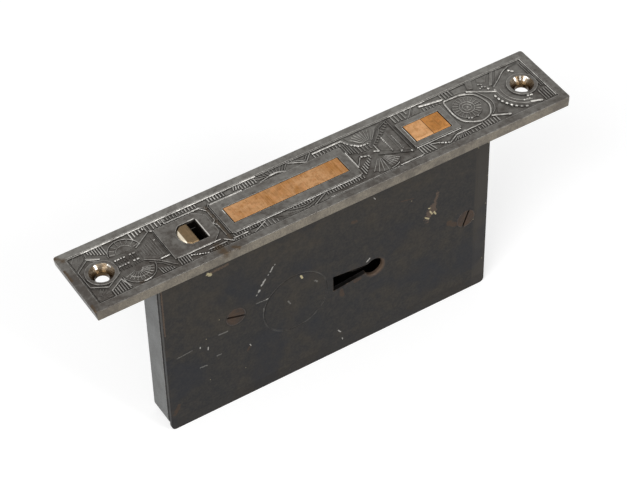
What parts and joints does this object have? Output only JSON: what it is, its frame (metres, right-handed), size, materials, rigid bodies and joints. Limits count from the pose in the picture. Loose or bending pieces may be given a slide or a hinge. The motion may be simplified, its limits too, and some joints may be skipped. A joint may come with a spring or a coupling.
{
  "type": "sliding door mortise lock",
  "caption": "Mortise lock for a sliding door: ornamented face plate with a flush pull-out bar, a thumb release and a spreading bolt, on a flat keyed case.",
  "frame": {"origin": "centre of the face plate's back face, where it seats on the door's edge, halfway between the two screw holes", "axes": "+Z points out of the door's edge, +X along the plate towards the bolt end (up on a hung door), -Y towards the cover with the screws"},
  "size_m": [0.2032, 0.032, 0.0913],
  "materials": {
    "bronzed_plate_steel": "cast relief, bronzed and worn to dark grey, bright on its ridges",
    "case_cast_iron": "mottled light grey casting",
    "cover_steel": "dark oxide, satin, with a few bright scratches and rust spots",
    "case_steel": "plain steel, dulled",
    "screw_steel": "rust-brown steel",
    "worn_brass": "copper-orange brass, mottled, with fine streaks",
    "works_steel": "dull oiled steel",
    "spring_steel": "blued spring steel"
  },
  "bodies": {
    "case": {"face_plate": "bronzed_plate_steel", "plate_rivets": "case_steel", "case_shell": "case_cast_iron", "cover_plate": "cover_steel", "cover_screws": "screw_steel", "key_ward": "case_steel", "pull_spring": "spring_steel", "release_spring": "spring_steel", "tumbler_spring": "spring_steel", "pull_guide_stud": "works_steel", "release_pivot_stud": "works_steel", "bolt_guide_stud": "works_steel", "spreader_post": "works_steel", "tumbler_pivot_stud": "works_steel"},
    "pull": {"pull_bar": "worn_brass", "pull_slide": "works_steel", "pull_rivets": "worn_brass"},
    "release": {"thumb_piece": "worn_brass", "thumb_piece_pin": "works_steel", "release_lever": "works_steel"},
    "bolt": {"bolt_plate": "works_steel", "bolt_stump": "works_steel", "jaw_pins": "works_steel"},
    "lower_jaw": {"bolt_jaw_lower": "worn_brass"},
    "upper_jaw": {"bolt_jaw_upper": "worn_brass"},
    "tumbler": {"tumbler_lever": "works_steel"}
  },
  "joints": [
    {"name": "pull_slide_out", "type": "slide", "parent": "case", "child": "pull", "axis": [0, 0, 1], "range_m": [0, 0.01905], "deforming": ["pull_spring"]},
    {"name": "release_turn", "type": "hinge", "parent": "case", "child": "release", "pos_m": [-0.0564, 0, -0.0267], "axis": [0, 1, 0], "range_deg": [0, 6.11], "stiffness_Nm_per_rad": 0.4, "springref_deg": -5.73, "deforming": ["release_spring"]},
    {"name": "bolt_throw", "type": "slide", "parent": "case", "child": "bolt", "axis": [0, 0, 1], "range_m": [0, 0.014]},
    {"name": "lower_jaw_turn", "type": "hinge", "parent": "bolt", "child": "lower_jaw", "pos_m": [0.04358, 0, -0.0217], "axis": [0, 1, 0], "range_deg": [-7.05, 0]},
    {"name": "upper_jaw_turn", "type": "hinge", "parent": "bolt", "child": "upper_jaw", "pos_m": [0.05072, 0, -0.0217], "axis": [0, 1, 0], "range_deg": [0, 7.05]},
    {"name": "tumbler_lift", "type": "hinge", "parent": "case", "child": "tumbler", "pos_m": [0.0605, 0, -0.0727], "axis": [0, 1, 0], "range_deg": [0, 5], "stiffness_Nm_per_rad": 0.1, "springref_deg": -5.73, "deforming": ["tumbler_spring"]}
  ],
  "couplings": [
    {"joint": "lower_jaw_turn", "follows": "bolt_throw", "rad_per_m": -8.7266},
    {"joint": "upper_jaw_turn", "follows": "bolt_throw", "rad_per_m": 8.7266}
  ]
}
